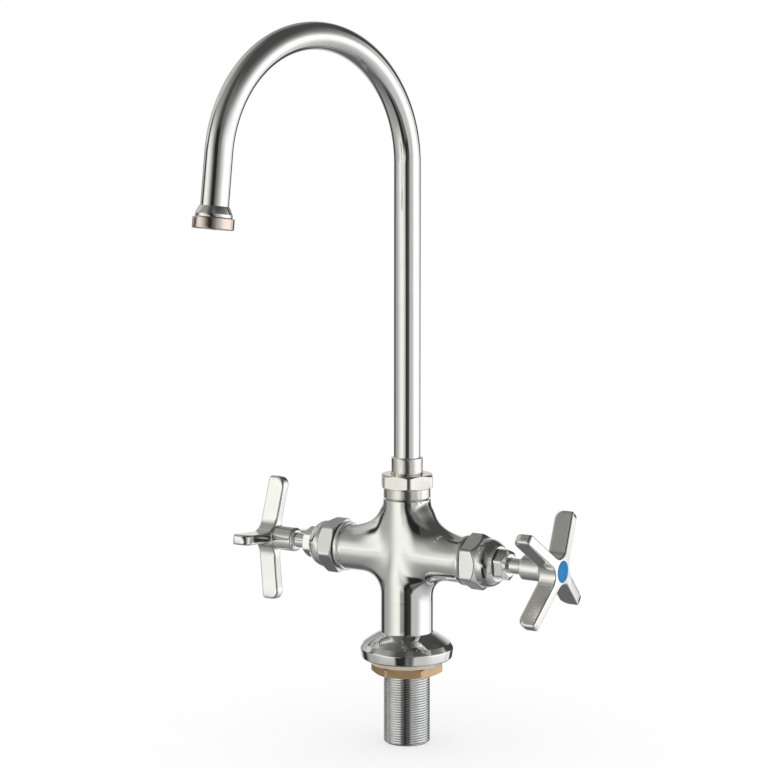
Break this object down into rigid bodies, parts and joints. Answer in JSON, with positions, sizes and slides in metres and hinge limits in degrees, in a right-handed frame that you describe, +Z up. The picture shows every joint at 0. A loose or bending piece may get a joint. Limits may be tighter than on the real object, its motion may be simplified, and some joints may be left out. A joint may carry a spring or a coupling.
{
  "type": "cross handle faucet",
  "caption": "Deck faucet with a swinging gooseneck spout on a cross-shaped body, two cross-handle compression valves, and a threaded shank with a washer and nut.",
  "frame": {"origin": "on the column's axis in the plane of the flange's contact rim, where it rests on the deck", "axes": "+Z up along the column and the shank; +X outwards along the cold valve's axis; -Y towards the user"},
  "size_m": [0.214, 0.1975, 0.4314],
  "materials": {
    "polished_chrome": "polished chrome plate on brass",
    "satin_chrome": "chrome plate, slightly satin",
    "brushed_nickel": "lightly brushed nickel plate",
    "warm_nickel": "turned nickel plate with a warm tint",
    "plated_thread": "grey plated thread",
    "raw_brass": "unplated brass",
    "cream_brass": "machined pale brass",
    "steel_screw": "stainless screw",
    "seal_rubber": "black nitrile rubber",
    "washer_fibre": "vulcanised fibre",
    "packing_ptfe": "white low-friction packing",
    "joint_plastic": "white acetal",
    "cold_blue": "glossy blue",
    "hot_red": "glossy red"
  },
  "bodies": {
    "faucet_body": {"body": "polished_chrome", "shank": "plated_thread", "deck_washer": "cream_brass", "lock_nut": "raw_brass", "swivel_nut": "brushed_nickel", "bearing_rings": "joint_plastic", "cold_seat": "raw_brass", "cold_bonnet_washer": "washer_fibre", "cold_bonnet": "polished_chrome", "cold_packing": "packing_ptfe", "cold_gland": "raw_brass", "cold_packing_nut": "satin_chrome", "hot_seat": "raw_brass", "hot_bonnet_washer": "washer_fibre", "hot_bonnet": "polished_chrome", "hot_packing": "packing_ptfe", "hot_gland": "raw_brass", "hot_packing_nut": "satin_chrome"},
    "spout": {"spout_sleeve": "brushed_nickel", "spout_orings": "seal_rubber", "spout_tube": "polished_chrome", "outlet_adapter": "polished_chrome", "aerator_washer": "seal_rubber", "aerator": "joint_plastic", "outlet_ring": "warm_nickel"},
    "cold_jumper": {"cold_jumper": "raw_brass", "cold_seat_disc": "seal_rubber"},
    "cold_spindle": {"cold_spindle": "satin_chrome", "cold_handle": "satin_chrome", "cold_handle_screw": "steel_screw", "cold_index_button": "cold_blue"},
    "hot_jumper": {"hot_jumper": "raw_brass", "hot_seat_disc": "seal_rubber"},
    "hot_spindle": {"hot_spindle": "satin_chrome", "hot_handle": "satin_chrome", "hot_handle_screw": "steel_screw", "hot_index_button": "hot_red"}
  },
  "joints": [
    {"name": "spout_swivel", "type": "hinge", "parent": "faucet_body", "child": "spout", "pos_m": [0, 0, 0.105], "axis": [0, 0, 1], "continuous": true},
    {"name": "cold_lift", "type": "slide", "parent": "faucet_body", "child": "cold_jumper", "axis": [1, 0, 0], "range_m": [0, 0.003]},
    {"name": "cold_turn", "type": "hinge", "parent": "cold_jumper", "child": "cold_spindle", "pos_m": [0, 0, 0.064], "axis": [1, 0, 0], "range_deg": [0, 540]},
    {"name": "hot_lift", "type": "slide", "parent": "faucet_body", "child": "hot_jumper", "axis": [-1, 0, 0], "range_m": [0, 0.003]},
    {"name": "hot_turn", "type": "hinge", "parent": "hot_jumper", "child": "hot_spindle", "pos_m": [0, 0, 0.064], "axis": [-1, 0, 0], "range_deg": [0, 540]}
  ],
  "couplings": [
    {"joint": "cold_lift", "follows": "cold_turn", "m_per_rad": 0.0003183},
    {"joint": "hot_lift", "follows": "hot_turn", "m_per_rad": 0.0003183}
  ]
}
